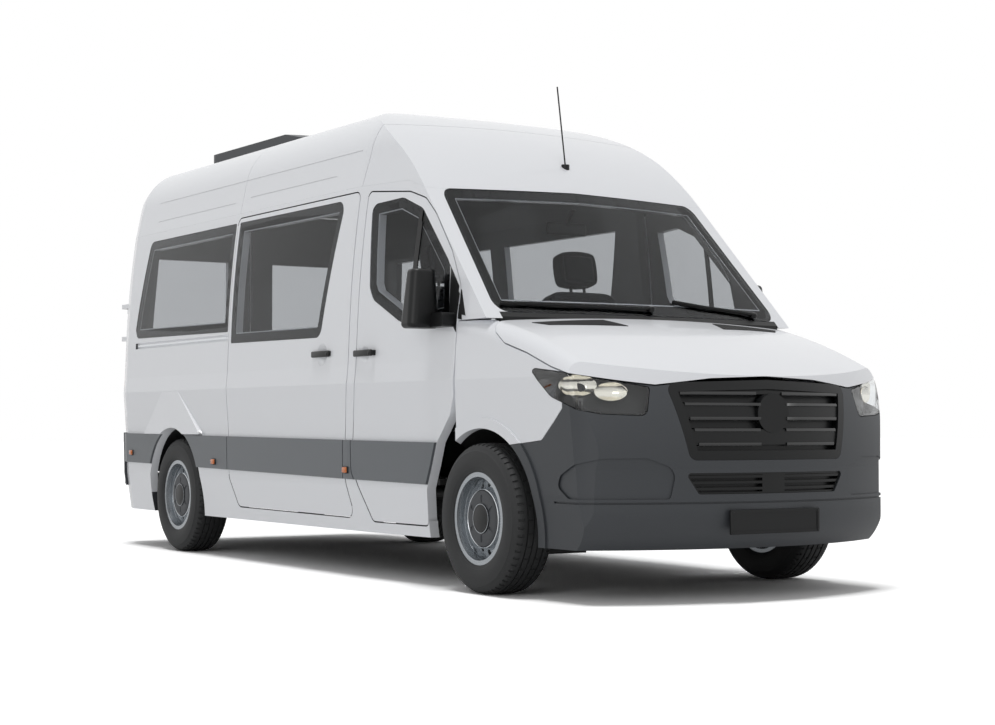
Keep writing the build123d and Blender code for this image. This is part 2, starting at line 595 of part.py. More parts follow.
def make_trim():
    """Side mouldings, rear bumper and grille."""
    skin = hull(-14, FOOT_Z) - hull(-SEAT_GAP, FOOT_Z - 60)
    band = side_prism(MOULDING, -1400, 1400)
    strip = skin & band
    strip = cut(strip, arch(REAR_AXLE, 1), arch(0, 20), block(-6000, REAR_FACE + 160, -1400, 1400, 0, 3000))
    node("door_moulding_right", largest(strip & side_prism(FRONT_DOOR, -1300, -600, -1)))
    node("door_moulding_left", mirrored(NODES["door_moulding_right"]))
    sliding_strip = largest(strip & side_prism(SLIDING_DOOR, -1300, -700, -1))
    fixed = cut(strip, *both(side_prism(FRONT_DOOR, -1300, -600, GAP)), block(-600, 2000, -1400, 1400, 0, 3000))
    fixed = cut(fixed, side_prism(SLIDING_DOOR, -1300, -700, GAP))
    node("side_mouldings", joined([fixed, sliding_strip]))

    corner = (hull(-16, 395) - hull(-SEAT_GAP, 300)) & block(-6000, REAR_FACE + 158, -1400, 1400, 395, 748)
    corner = cut(corner, block(-6000, 0, -884, 884, 470, 1000))
    step = plan_prism([(REAR_END, -840, 90), (REAR_END, 840, 90), (REAR_FACE + 60, 960, 30),
                       (REAR_FACE + 60, -960, 30)], 400, 470)
    step = step - hull(-SEAT_GAP, 300)
    node("rear_bumper", largest(corner + step))

    frame = front_prism(GRILLE, 700, 1300) - front_prism(GRILLE, 650, 1350, -GRILLE_FRAME)
    grille = (nose(0) - nose(GRILLE_BACK, FOOT_Z - 60)) & frame
    slats = (nose(TRIM_SINK) - nose(GRILLE_BACK, FOOT_Z - 60)) & front_prism(GRILLE, 700, 1300, 1 - GRILLE_FRAME)
    for low, high in GRILLE_BARS:
        grille = grille + (slats & block(700, 1300, -600, 600, low, high))
    back_layer = nose(GRILLE_BACK, FOOT_Z - 60) - nose(GRILLE_BACK + 10, FOOT_Z - 60)
    grille = grille + (back_layer & front_prism(GRILLE, 700, 1300))
    grille = grille + Pos(NOSE_X - 30, 0, BADGE_Z) * Rot(0, 90, 0) * Cylinder(BADGE_R, 44)
    mesh = (nose(TRIM_SINK) - nose(GRILLE_BACK, FOOT_Z - 60)) & front_prism(INTAKE, 700, 1300, -SEAT_GAP)
    intake = mesh - front_prism(INTAKE, 650, 1350, -9)
    for z in INTAKE_BARS:
        intake = intake + (mesh & block(700, 1300, -600, 600, z - 6, z + 6))
    intake = intake + (mesh & block(700, 1300, -SENSOR_HALF, SENSOR_HALF, 0, 1000))
    back = back_layer & front_prism(INTAKE, 700, 1300, 12)
    node("grille", joined([largest(grille), largest(intake + back)]))


def make_mirrors():
    """Door mirrors: a tapered housing on an arm at the front of the door."""
    low = Pos(-407, -1042, MIRROR_FOOT) * RectangleRounded(126, 178, 40)
    high = Pos(-412, -1032, MIRROR_FOOT + MIRROR_H) * RectangleRounded(96, 132, 40)
    head = loft([low, high], ruled=True)
    head = fillet(head.faces().sort_by(Axis.Z)[-1].edges() + head.faces().sort_by(Axis.Z)[0].edges(), 22)
    arm = block(-420, -236, -1015, -900, MIRROR_FOOT + 4, MIRROR_FOOT + 74)
    arm = fillet(arm.edges().filter_by(Axis.Y), 20)
    mirror_right = largest((head + arm) - greenhouse(-SEAT_GAP))
    node("mirror_right", mirror_right)
    node("mirror_left", mirrored(mirror_right))


def make_roof_fittings():
    base = greenhouse(-SEAT_GAP)
    pod = side_prism([(-4320, 2380, 0), (-4320, 2560, 0), (-4270, 2672, 60), (-3360, 2668, 200), (-2700, 2530, 0),
                      (-2700, 2380, 0)], -500, 500)
    pod = pod & plan_prism([(-4330, -490, 150), (-4330, 490, 150), (-2690, 430, 160), (-2690, -430, 160)], 2380, 2700)
    pod = pod & (Pos(0, 0, 2700 - 2400) * Rot(0, 90, 0) * Pos(0, 0, -3500) * Cylinder(2372, 2000))
    node("roof_unit", largest(pod - base))
    foot = Pos(-785, 70, 2165) * Cylinder(22, 60)
    mast = Pos(-785, 70, 2185) * Rot(0, -10, 0) * Pos(0, 0, 225) * Cylinder(4, 450)
    node("antenna", largest((foot + mast) - base))


def tyre_profile():
    """Tyre cross-section: radius against distance from its middle plane."""
    side = [(RIM_R + 0.2, 80), (RIM_R + 17, 86), (RIM_R + 19, 104), (RIM_R + 70, TYRE_W / 2),
            (TYRE_R - 46, TYRE_W / 2 - 4), (TYRE_R - 12, TYRE_W / 2 - 22), (TYRE_R, TYRE_W / 2 - 44)]
    return [(r, -w) for r, w in side] + [(r, w) for r, w in reversed(side)]


def make_wheels():
    ring = revolve(Plane.XZ * make_face(Polyline(*tyre_profile(), close=True)), Axis.Z)
    rim = [(219, -100), (219, -88), (RIM_R, -82), (RIM_R, 82), (219, 88), (219, 100), (197, 100), (190, 60),
           (176, 34), (150, 40), (132, 66), (100, 74), (84, 60), (42, 60), (42, 44), (92, 44), (106, 58), (124, 52),
           (142, 26), (172, 20), (182, 40), (186, 60), (186, -82), (200, -100)]
    disc = revolve(Plane.XZ * make_face(Polyline(*rim, close=True)), Axis.Z)
    for hole in range(RIM_HOLES):
        disc = disc - Rot(0, 0, 360 * hole / RIM_HOLES) * Pos(160, 0, 20) * Cylinder(13, 120)
    cap = Pos(0, 0, 73) * Cylinder(70, 30)
    disc = disc + (cap - Pos(0, 0, 60) * Cylinder(41.9, 20))
    for name, x, side in (("front_right", 0, -1), ("front_left", 0, 1), ("rear_right", REAR_AXLE, -1),
                          ("rear_left", REAR_AXLE, 1)):
        place = Pos(x, side * TRACK / 2, HUB_Z) * Rot(-90 * side, 0, 0)
        node("tyre_" + name, place * ring)
        node("rim_" + name, place * disc)


def make_running_gear():
    mid_y = TRACK / 2
    knuckle = rod_y(0, KINGPIN_Y - 60, mid_y + 59, HUB_Z, 41.5)
    knuckle += rod_y(0, KINGPIN_Y + 30, mid_y + 43.5, HUB_Z, 78)
    knuckle += block(-45, 45, KINGPIN_Y - 62, KINGPIN_Y + 34, HUB_Z - 130, HUB_Z + 130)
    knuckle += block(-45, 45, KINGPIN_Y - 130, KINGPIN_Y - 40, HUB_Z + 60, HUB_Z + 130)
    knuckle += Pos(0, KINGPIN_Y - 85, HUB_Z + 240) * Cylinder(30, 240)
    knuckle += block(-170, -20, KINGPIN_Y - 55, KINGPIN_Y - 25, HUB_Z - 60, HUB_Z - 30)
    node("knuckle_left", knuckle)
    node("knuckle_right", mirrored(knuckle))
    beam = block(-70, 70, -520, 520, 205, 300)
    arm = block(-60, 60, 380, KINGPIN_Y - 70, 180, 214)
    arm += block(-25, 25, KINGPIN_Y - 80, KINGPIN_Y + 14, 194, 214)
    arm += Pos(0, KINGPIN_Y, 217.85) * Cylinder(16, 15.7)
    arm += block(-60, 60, RAIL_INNER + 1, RAIL_INNER + RAIL_W - 1, 290, RAIL_TOP - RAIL_H - SEAT_GAP)
    for piece in both(arm):
        beam += piece
    node("front_subframe", beam)
    axle = rod_y(REAR_AXLE, -mid_y + 40, mid_y - 40, HUB_Z, 48)
    axle += Pos(REAR_AXLE, 0, HUB_Z) * Sphere(165)
    axle += Pos(REAR_AXLE + 165, 0, 400) * Rot(0, 90, 0) * Cylinder(56, 130)
    for side in (1, -1):
        axle += rod_y(REAR_AXLE, side * (mid_y - 60), side * (mid_y + 43.5), HUB_Z, 78)
        axle += rod_y(REAR_AXLE, side * (mid_y - 60), side * (mid_y + 59), HUB_Z, 41.5)
        axle += block(REAR_AXLE - 60, REAR_AXLE + 60, side * 480 - 40, side * 480 + 40, HUB_Z, HUB_Z + AXLE_PAD)
    node("rear_axle", axle)
    back, ahead, low = REAR_AXLE - 720, REAR_AXLE + 720, LEAF_END_Z - LEAF_T
    under, over = HUB_Z + AXLE_PAD + SEAT_GAP, HUB_Z + AXLE_PAD + LEAF_T
    leaf = make_face([ThreePointArc((back, low), (REAR_AXLE, under), (ahead, low)),
                      Line((ahead, low), (ahead, LEAF_END_Z)),
                      ThreePointArc((ahead, LEAF_END_Z), (REAR_AXLE, over), (back, LEAF_END_Z)),
                      Line((back, LEAF_END_Z), (back, low))])
    spring = extrude(Plane((0, 445, 0), x_dir=(1, 0, 0), z_dir=(0, -1, 0)) * leaf, 70, dir=(0, 1, 0))
    node("leaf_springs", joined(both(spring)))


def make_floor():
    """Load floor, cab floor with its bulkhead, chassis rails and wheel housings."""
    inside = greenhouse(WALL + SEAT_GAP, 100)
    nose_in = nose(NOSE_WALL + SEAT_GAP, 100)
    front_wells = [block(-460, 460, y, y + 870, 200, 800) for y in (-1400, 530)]
    well_r = ARCH_R + HOUSING_T + HOUSING_GAP
    rear_wells = [rod_y(REAR_AXLE, side * 614, side * FAR, HUB_Z, well_r + SEAT_GAP) for side in (1, -1)]
    hinges = [Pos(REAR_HINGE[0], side * REAR_HINGE[1], 600) * Cylinder(HINGE_CLEAR, 800) for side in (1, -1)]
    load = inside & block(REAR_FACE + WALL + 25, STEP_X, -FAR, FAR, LOAD_Z - LOAD_T, LOAD_Z)
    load += inside & block(STEP_X - FLOOR_T, STEP_X, -FAR, FAR, RAIL_TOP, LOAD_Z)
    node("floor", largest(cut(load, rear_wells, hinges)))
    cab = inside & block(STEP_X, 0, -FAR, FAR, RAIL_TOP, CAB_Z)
    cab += inside & block(-FLOOR_T, 0, -SCUTTLE_Y, SCUTTLE_Y, RAIL_TOP, SCUTTLE_Z - SEAT_GAP)
    cab += nose_in & block(-FLOOR_T, 0, -1000, 1000, 830, SCUTTLE_Z - SEAT_GAP)
    node("cab_floor", largest(cut(cab, front_wells)))
    rails = []
    for side in (1, -1):
        y0, y1 = sorted((side * RAIL_INNER, side * (RAIL_INNER + RAIL_W)))
        rail = block(REAR_FACE + 70, STEP_X - FLOOR_T, y0, y1, RAIL_TOP, LOAD_Z - LOAD_T)
        rail += block(STEP_X - 150, 500, y0, y1, RAIL_TOP - RAIL_H, RAIL_TOP)
        rail += nose_in & block(400, RAIL_FRONT, y0, y1, RAIL_TOP - RAIL_H, RAIL_TOP)
        for x in (REAR_AXLE - 700, REAR_AXLE + 700):
            foot0, foot1 = sorted((side * 400, side * 515))
            rail += block(x - 40, x + 40, foot0, foot1, LEAF_END_Z + SEAT_GAP, LOAD_Z - LOAD_T)
        rails.append(largest(rail))
    node("chassis_rails", joined(rails))
    housings = []
    for side in (1, -1):
        rear = rod_y(REAR_AXLE, side * 614, side * FAR, HUB_Z, well_r)
        rear = rear - rod_y(REAR_AXLE, side * 620, side * FAR, HUB_Z, well_r - HOUSING_T)
        housings.append(largest((rear & inside) & block(-6000, 0, -FAR, FAR, 540, 1000)))
        front = rod_y(0, side * 536, side * FAR, HUB_Z, well_r)
        front = front - rod_y(0, side * 542, side * FAR, HUB_Z, well_r - HOUSING_T)
        housings.append(largest((front & nose_in) & block(-1000, 1000, -FAR, FAR, CAB_Z + 1, 1100)))
    node("wheel_housings", joined(housings))


def make_drive():
    motor = block(60, 640, -260, 260, 600, 960)
    motor += block(50, 560, -170, 170, 330, 610)
    motor += block(-700, 70, -150, 150, 340, 490)
    mount_y = RAIL_INNER - SEAT_GAP
    motor += block(300, 420, -mount_y, mount_y, 440, 490)
    node("engine", motor)
    front, back = -700 - SEAT_GAP, REAR_AXLE + 230 + SEAT_GAP
    node("propshaft", Pos((front + back) / 2, 0, 400) * Rot(0, 90, 0) * Cylinder(38, front - back))
    tank = Pos(-1900, 600, 440) * fillet(Box(1000, 300, 220).edges(), 40)
    for x in (-2200, -1600):
        tank += block(x - 30, x + 30, 500, 700, 520, LOAD_Z - LOAD_T - SEAT_GAP)
    node("fuel_tank", tank)
    pipe = Pos(-2300, -580, 450) * Rot(0, 90, 0) * Cylinder(105, 620)
    pipe += Pos(-1480, -580, 450) * Rot(0, 90, 0) * Cylinder(32, 1200)
    pipe += Pos(-2830, -580, 450) * Rot(0, 90, 0) * Cylinder(32, 500)
    for x in (-2450, -2150):
        pipe += block(x - 25, x + 25, -620, -540, 500, LOAD_Z - LOAD_T - SEAT_GAP)
    node("exhaust", pipe)


def make_cabin():
    inside = greenhouse(WALL + 2, 100)
    front = -FLOOR_T - SEAT_GAP
    top = [(front, 620, 0), (front, 1225, 20), (-70, 1228, 0), (-260, 1165, 40), (-330, 1080, 40),
           (-300, 900, 60), (-190, 640, 0)]
    dash = side_prism(top, -860, 860) & inside
    dash = cut(dash, *[block(-500, 100, min(y, 2.6 * y), max(y, 2.6 * y), 500, 805) for y in (520, -520)])
    steering = Pos(-470, 410, 1085) * Rot(0, -62, 0)
    column = steering * Pos(0, 0, -120 - SEAT_GAP) * Cylinder(32, 200)
    dash = dash + column
    node("dashboard", largest(dash))
    wheel = Torus(190, 16)
    wheel += Cylinder(55, 40)
    for turn in (90, 210, 330):
        wheel += Rot(0, 0, turn) * Pos(110, 0, 0) * Box(170, 34, 14)
    node("steering_wheel", steering * wheel)
    seats = []
    for y in (430, -430):
        seat = Pos(-880, y, 660) * Box(420, 380, 259.4)
        seat += Pos(-860, y, 830) * fillet(Box(560, 500, 120).edges(), 40)
        back = Pos(-1130, y, 1190) * Rot(0, -12, 0) * fillet(Box(130, 480, 720).edges(), 45)
        head = Pos(-1225, y, 1670) * Rot(0, -12, 0) * fillet(Box(100, 260, 200).edges(), 40)
        post = Pos(-1200, y, 1560) * Rot(0, -12, 0) * Box(24, 120, 160)
        seats.append(largest(seat + back + head + post))
    node("seats", joined(seats))


def main():
    os.makedirs("parts", exist_ok=True)
    for make in (make_body, make_nose, make_trim, make_mirrors, make_roof_fittings, make_wheels, make_running_gear,
                 make_floor, make_drive, make_cabin):
        make()
    for name, shape in NODES.items():
        export_step(Pos(-ORIGIN_STATION, 0, 0) * shape, "parts/" + name + ".step")


if __name__ == "__main__":
    main()
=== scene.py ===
import bpy
import json
import math
from mathutils import Matrix, Vector


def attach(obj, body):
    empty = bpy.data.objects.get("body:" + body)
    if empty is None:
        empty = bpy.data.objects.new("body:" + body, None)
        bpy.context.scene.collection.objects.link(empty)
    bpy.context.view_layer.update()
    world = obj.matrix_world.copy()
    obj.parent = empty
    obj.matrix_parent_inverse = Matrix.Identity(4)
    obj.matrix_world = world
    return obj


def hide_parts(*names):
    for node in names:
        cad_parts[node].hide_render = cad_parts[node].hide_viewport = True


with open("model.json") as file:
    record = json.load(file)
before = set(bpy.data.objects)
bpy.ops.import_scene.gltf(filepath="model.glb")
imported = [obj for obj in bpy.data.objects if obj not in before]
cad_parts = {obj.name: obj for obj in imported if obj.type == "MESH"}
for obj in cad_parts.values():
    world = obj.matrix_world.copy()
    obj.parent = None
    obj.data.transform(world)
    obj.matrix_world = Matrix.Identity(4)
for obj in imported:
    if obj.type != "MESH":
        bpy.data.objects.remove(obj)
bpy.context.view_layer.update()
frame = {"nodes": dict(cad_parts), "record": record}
nodes = frame["nodes"]

# Camera fitted to the photograph's wheels, screen and grille, in metres, degrees and pixels
IMAGE_WIDTH = 995
FOCAL_PIXELS = 1897.8
CAMERA_PLACE = (9.527, -5.613, 0.793)
CAMERA_AZIMUTH = 58.08
CAMERA_TILT = 91.91
CAMERA_REACH = 300.0
SENSOR_WIDTH = 36.0

# The front axle in metres from the frame's origin, and the number of millimetres in a metre
AXLE = 1.879
MM = 1000

# All sizes and places below are millimetres, from the front axle, the middle of the van and the ground
WHEELBASE = 3665.0
TYRE_R = 356.0
WHEEL_Y = 856.0
# Wheel, its distance from the front axle and its side of the van
WHEELS = [("front_right", 0, -1), ("front_left", 0, 1),
          ("rear_right", -WHEELBASE, -1), ("rear_left", -WHEELBASE, 1)]
# Start of a sheet that is then laid on the right side, the bonnet or the grille
BESIDE = -1100
ABOVE = 1500
AHEAD = 1200

MERGE_DISTANCE = 0.00002
UNMOVED = 1e-6
# Least share of a normal along an axis on a face that looks straight that way, or on one that leans
FLAT_ON = 0.9
LEANING = 0.5
# Radius at which a spun piece closes on its axis
POLE = 0.4


def at(x, y, z):
    """A place in mm from the front axle, as metres in the shared frame."""
    return Vector((x / MM + AXLE, y / MM, z / MM))


# Modelling by hand tools

def only(piece):
    """Make one piece the whole selection."""
    bpy.ops.object.select_all(action="DESELECT")
    piece.select_set(True)
    bpy.context.view_layer.objects.active = piece


def edit(piece):
    only(piece)
    bpy.ops.object.mode_set(mode="EDIT")


def leave():
    bpy.ops.object.mode_set(mode="OBJECT")


def start(kind, **settings):
    """Add a primitive with nothing else selected."""
    bpy.ops.object.select_all(action="DESELECT")
    getattr(bpy.ops.mesh, "primitive_" + kind + "_add")(**settings)
    return bpy.context.object


def settle(piece):
    """Put a piece's place, turn and scale into its mesh."""
    only(piece)
    bpy.ops.object.transform_apply(location=True, rotation=True, scale=True)


def unselect(piece, kind):
    """Select nothing of a piece, so that its faces or vertices can be chosen in code."""
    edit(piece)
    bpy.ops.mesh.select_mode(type=kind)
    bpy.ops.mesh.select_all(action="DESELECT")
    leave()


def pick(piece, test):
    """Go to edit mode with only the faces selected whose middle and normal pass the test."""
    unselect(piece, "FACE")
    for face in piece.data.polygons:
        face.select = test(face.center, face.normal)
    edit(piece)


def all_faces(middle, normal):
    return True


def facing_front(middle, normal):
    return normal.x > FLAT_ON


def facing_rear(middle, normal):
    return normal.x < -FLAT_ON


def facing_sides(middle, normal):
    return abs(normal.y) > FLAT_ON


def facing_up(middle, normal):
    return normal.z > FLAT_ON


def modify(piece, kind, **settings):
    """Add a modifier, set it and apply it."""
    only(piece)
    added = piece.modifiers.new("shape", kind)
    for key, value in settings.items():
        setattr(added, key, value)
    bpy.ops.object.modifier_apply(modifier=added.name)


def recess(piece, test, border, depth, **more):
    """Inset the faces that pass the test and sink them."""
    pick(piece, test)
    bpy.ops.mesh.inset(thickness=border / MM, depth=-depth / MM, **more)
    leave()


def even_normals(piece):
    """Merge doubles and turn all faces outwards."""
    edit(piece)
    bpy.ops.mesh.select_all(action="SELECT")
    bpy.ops.mesh.remove_doubles(threshold=MERGE_DISTANCE)
    bpy.ops.mesh.normals_make_consistent(inside=False)
    leave()


def copied(piece, flip=False):
    """Copy with its own mesh, mirrored to the van's other side where asked."""
    twin = piece.copy()
    twin.data = piece.data.copy()
    bpy.context.scene.collection.objects.link(twin)
    if flip:
        twin.scale.y = -1.0
        settle(twin)
        even_normals(twin)
    return twin


def join(pieces):
    only(pieces[0])
    for piece in pieces:
        piece.select_set(True)
    bpy.ops.object.join()
    return bpy.context.object


def finish_piece(piece, name, body, slot, finish=None, angle=35.0):
    """Name a piece, shade it and let it ride on its body."""
    only(piece)
    bpy.ops.object.shade_smooth_by_angle(angle=math.radians(angle))
    piece.name = name
    piece.data.materials.clear()
    piece.data.materials.append(finish or FINISHES[slot])
    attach(piece, body)
    return piece


def box(corner, opposite):
    corner, opposite = at(*corner), at(*opposite)
    piece = start("cube", size=1.0, location=(corner + opposite) / 2)
    piece.scale = [abs(size) for size in opposite - corner]
    settle(piece)
    return piece


def rounded_box(corner, opposite, radius):
    piece = box(corner, opposite)
    modify(piece, "BEVEL", width=radius / MM, segments=3, limit_method="NONE")
    return piece


def sunk_box(corner, opposite, radius, border, depth, test):
    """Rounded box with a face sunk inside a border."""
    piece = rounded_box(corner, opposite, radius)
    recess(piece, test, border, depth)
    return piece


def side_block(side, x, z, half_length, half_height, near, far, radius):
    """Rounded block on one side of the van, between two distances from its middle."""
    return rounded_box((x - half_length, side * near, z - half_height),
                       (x + half_length, side * far, z + half_height), radius)


def patch(corners, cuts):
    """Four-cornered sheet, cut into a grid."""
    piece = start("plane", size=1.0)
    for vertex, corner in zip(piece.data.vertices, (corners[0], corners[1], corners[3], corners[2])):
        vertex.co = at(*corner)
    pick(piece, all_faces)
    bpy.ops.mesh.subdivide(number_cuts=cuts)
    leave()
    return piece


def lay_on(piece, node, axis, thickness):
    """Project a sheet along one axis on to a CAD node, drop what misses it, then give it thickness."""
    before = [vertex.co.copy() for vertex in piece.data.vertices]
    modify(piece, "SHRINKWRAP", target=nodes[node], wrap_method="PROJECT", use_negative_direction=True,
           use_positive_direction=True, **{"use_project_" + axis: True})
    missed = [(vertex.co - old).length < UNMOVED for vertex, old in zip(piece.data.vertices, before)]
    unselect(piece, "VERT")
    for vertex, flag in zip(piece.data.vertices, missed):
        vertex.select = flag
    edit(piece)
    bpy.ops.mesh.delete(type="VERT")
    leave()
    modify(piece, "SOLIDIFY", thickness=thickness / MM, offset=0.0)


def bar(points, width, height):
    """Bar of rectangular section extruded from point to point."""
    first = at(*points[0])
    piece = start("plane", size=1.0, location=first)
    piece.scale = (width / MM, height / MM, 1.0)
    heading = at(*points[1]) - first
    piece.rotation_euler = heading.to_track_quat("Z", "Y").to_euler()
    settle(piece)
    pick(piece, all_faces)
    for a, b in zip(points, points[1:]):
        bpy.ops.mesh.extrude_region_move(TRANSFORM_OT_translate={"value": at(*b) - at(*a)})
    leave()
    even_normals(piece)
    return piece


def spun_blank(profile, steps):
    """Closed profile of (radius, height), spun round the z axis at the origin."""
    piece = start("plane", size=0.01)
    pick(piece, all_faces)
    bpy.ops.mesh.merge(type="CENTER")
    leave()
    piece.data.vertices[0].co = (profile[0][0] / MM, 0, profile[0][1] / MM)
    edit(piece)
    bpy.ops.mesh.select_mode(type="VERT")
    bpy.ops.mesh.select_all(action="SELECT")
    for a, b in zip(profile, profile[1:]):
        step = ((b[0] - a[0]) / MM, 0, (b[1] - a[1]) / MM)
        bpy.ops.mesh.extrude_region_move(TRANSFORM_OT_translate={"value": step})
    bpy.ops.mesh.select_all(action="SELECT")
    bpy.ops.mesh.spin(steps=steps, angle=2 * math.pi, center=(0, 0, 0), axis=(0, 0, 1))
    leave()
    even_normals(piece)
    return piece


def put(piece, place, out):
    """Turn a spun piece's z axis to a heading and move it to its place."""
    piece.rotation_euler = Vector(out).to_track_quat("Z", "Y").to_euler()
    piece.location = at(*place)
    settle(piece)
    return piece


# Finishes

def linear(hex_code):
    """sRGB hex to linear RGBA."""
    parts = [int(hex_code[i:i + 2], 16) / 255 for i in (1, 3, 5)]
    return [c / 12.92 if c <= 0.04045 else ((c + 0.055) / 1.055) ** 2.4 for c in parts] + [1.0]


def add_node(tree, kind, settings=None, links=None):
    """One node with its input values or attributes set, and its inputs linked from other sockets."""
    new = tree.nodes.new(kind)
    for key, value in (settings or {}).items():
        if isinstance(key, int) or key in new.inputs:
            new.inputs[key].default_value = value
        else:
            setattr(new, key, value)
    for key, socket in (links or {}).items():
        tree.links.new(socket, new.inputs[key])
    return new


def new_material(name, colour, roughness, metallic=0.0, **more):
    """A Principled material; returns it with its tree and shader so that a pattern can be added."""
    made = bpy.data.materials.new(name)
    made.use_nodes = True
    tree = made.node_tree
    shader = tree.nodes["Principled BSDF"]
    shader.inputs["Base Color"].default_value = linear(colour)
    shader.inputs["Roughness"].default_value = roughness
    shader.inputs["Metallic"].default_value = metallic
    for key, value in more.items():
        shader.inputs[key.replace("_", " ")].default_value = value
    return made, tree, shader


def grain(tree, shader, spacing, depth, tones=None):
    """Noise of a real spacing and depth as bump and, with two tones, as a slight change of colour."""
    place = add_node(tree, "ShaderNodeTexCoord")
    noise = add_node(tree, "ShaderNodeTexNoise", {"Scale": MM / spacing, "Detail": 2.0},
                     {"Vector": place.outputs["Object"]})
    bump = add_node(tree, "ShaderNodeBump", {"Strength": 0.5, "Distance": depth / MM},
                    {"Height": noise.outputs["Fac"]})
    tree.links.new(bump.outputs["Normal"], shader.inputs["Normal"])
    if tones:
        tone = add_node(tree, "ShaderNodeMix",
                        {"data_type": "RGBA", "A": linear(tones[0]), "B": linear(tones[1])},
                        {"Factor": noise.outputs["Fac"]})
        tree.links.new(tone.outputs["Result"], shader.inputs["Base Color"])


ENAMEL = "#E6E8EC"
# Charcoal of the inward faces: lining panels, together with painted shade inside the van
LINING_AND_SHADE = "#3C3E41"
ORANGE_PEEL = (9.0, 0.02)
# A face is lined and takes painted shade where its normal looks at the van's middle line, at this height in
# metres
MIDDLE_HEIGHT = 1.3
# Weight of a look along the van, and the level under which a face counts as inside
LENGTHWAYS = 0.06
LINED_AND_SHADED_BELOW = -0.12


def white_enamel():
    # White two-coat enamel on steel: flat white under a clear gloss coat, with a faint orange-peel ripple
    made, tree, shader = new_material("white_enamel", ENAMEL, 0.38, Coat_Weight=0.5, Coat_Roughness=0.06)
    grain(tree, shader, *ORANGE_PEEL)
    return made


def lining_and_shade_enamel():
    # The same enamel outside; the faces that look into the van are painted charcoal, partly as lining panels
    # and partly as painted shade inside the van
    made, tree, shader = new_material("lining_and_shade_enamel", ENAMEL, 0.38, Coat_Weight=0.5, Coat_Roughness=0.06)
    place = add_node(tree, "ShaderNodeTexCoord")
    weights = (LENGTHWAYS, 1.0, 1.0)
    lift = (0.0, 0.0, -MIDDLE_HEIGHT)
    outward = add_node(tree, "ShaderNodeVectorMath", {"operation": "MULTIPLY_ADD", 1: weights, 2: lift},
                       {0: place.outputs["Object"]})
    facing = add_node(tree, "ShaderNodeVectorMath", {"operation": "DOT_PRODUCT"},
                      {0: outward.outputs["Vector"], 1: place.outputs["Normal"]})
    side = add_node(tree, "ShaderNodeMath", {"operation": "GREATER_THAN", 1: LINED_AND_SHADED_BELOW},
                    {0: facing.outputs["Value"]})
    tone = add_node(tree, "ShaderNodeMix", {"data_type": "RGBA", "A": linear(LINING_AND_SHADE), "B": linear(ENAMEL)},
                    {"Factor": side.outputs["Value"]})
    tree.links.new(tone.outputs["Result"], shader.inputs["Base Color"])
    grain(tree, shader, *ORANGE_PEEL)
    return made


def grained_bumper_plastic():
    # Mass-coloured polypropylene, dark and nearly matt, with a moulded grain drawn coarser than real to show
    made, tree, shader = new_material("grained_bumper_plastic", "#35383C", 0.5)
    grain(tree, shader, 4.0, 0.2, ("#313438", "#393C40"))
    return made


def moulding_plastic():
    # The same plastic in a lighter grey for the side strips
    made, tree, shader = new_material("moulding_plastic", "#63676B", 0.42)
    grain(tree, shader, 4.0, 0.12, ("#5F6367", "#676B6F"))
    return made


def black_abs():
    # Black moulded ABS with a satin skin and a faint mould texture
    made, tree, shader = new_material("black_abs", "#0E0F10", 0.36, Specular_IOR_Level=0.3)
    grain(tree, shader, 5.0, 0.08, ("#0D0E0F", "#121314"))
    return made


def gloss_abs():
    # Black ABS from a polished mould: glossy edges on the grille bars
    made, tree, shader = new_material("gloss_abs", "#101113", 0.14, Coat_Weight=0.4)
    grain(tree, shader, 8.0, 0.02, ("#0E0F11", "#131416"))
    return made


def tinted_glass():
    # Grey body-tinted safety glass: smooth, seen through, darker through two panes
    return new_material("tinted_glass", "#C9CBCD", 0.01, Transmission_Weight=1.0, IOR=1.18)[0]


def lamp_polycarbonate():
    # Hard-coated clear polycarbonate lamp cover
    return new_material("lamp_polycarbonate", "#F4F6F7", 0.02, Transmission_Weight=1.0, IOR=1.4)[0]


# Bands of the tail lamp lens: height of each one's lower edge in metres, and its colour
LENS_BANDS = [(0.0, "#8C0F12"), (0.93, "#D9DCDD"), (1.03, "#C8650E"), (1.13, "#8C0F12")]
LENS_TOP = 1.2


def red_acrylic():
    # Red acrylic lens with a clear and an amber band moulded across it
    made, tree, shader = new_material("red_acrylic", LENS_BANDS[0][1], 0.12, Coat_Weight=0.6)
    place = add_node(tree, "ShaderNodeTexCoord")
    height = add_node(tree, "ShaderNodeSeparateXYZ", links={0: place.outputs["Object"]})
    share = add_node(tree, "ShaderNodeMath", {"operation": "DIVIDE", 1: LENS_TOP}, {0: height.outputs["Z"]})
    ramp = add_node(tree, "ShaderNodeValToRGB", links={0: share.outputs["Value"]})
    ramp.color_ramp.interpolation = "CONSTANT"
    stops = ramp.color_ramp.elements
    for foot, colour in LENS_BANDS[1:-1]:
        stops.new(foot / LENS_TOP)
    for stop, (foot, colour) in zip(stops, LENS_BANDS):
        stop.position = foot / LENS_TOP
        stop.color = linear(colour)
    tree.links.new(ramp.outputs["Color"], shader.inputs["Base Color"])
    return made


def amber_acrylic():
    # Amber acrylic marker lens, with moulded prisms behind its face that break up the colour
    made, tree, shader = new_material("amber_acrylic", "#C8650E", 0.15, Coat_Weight=0.5)
    grain(tree, shader, 6.0, 0.3, ("#BC5A0A", "#D27014"))
    return made


def tyre_rubber():
    # Carbon-black rubber, matt with a faint grey bloom
    made, tree, shader = new_material("tyre_rubber", "#1C1D1E", 0.68)
    grain(tree, shader, 6.0, 0.2, ("#18191A", "#232425"))
    return made


def silver_wheel_paint():
    # Silver powder coat on pressed steel, with fine metal flake
    made, tree, shader = new_material("silver_wheel_paint", "#A3A7AB", 0.26, 0.9)
    grain(tree, shader, 3.0, 0.03, ("#9BA0A4", "#ABAFB3"))
    return made


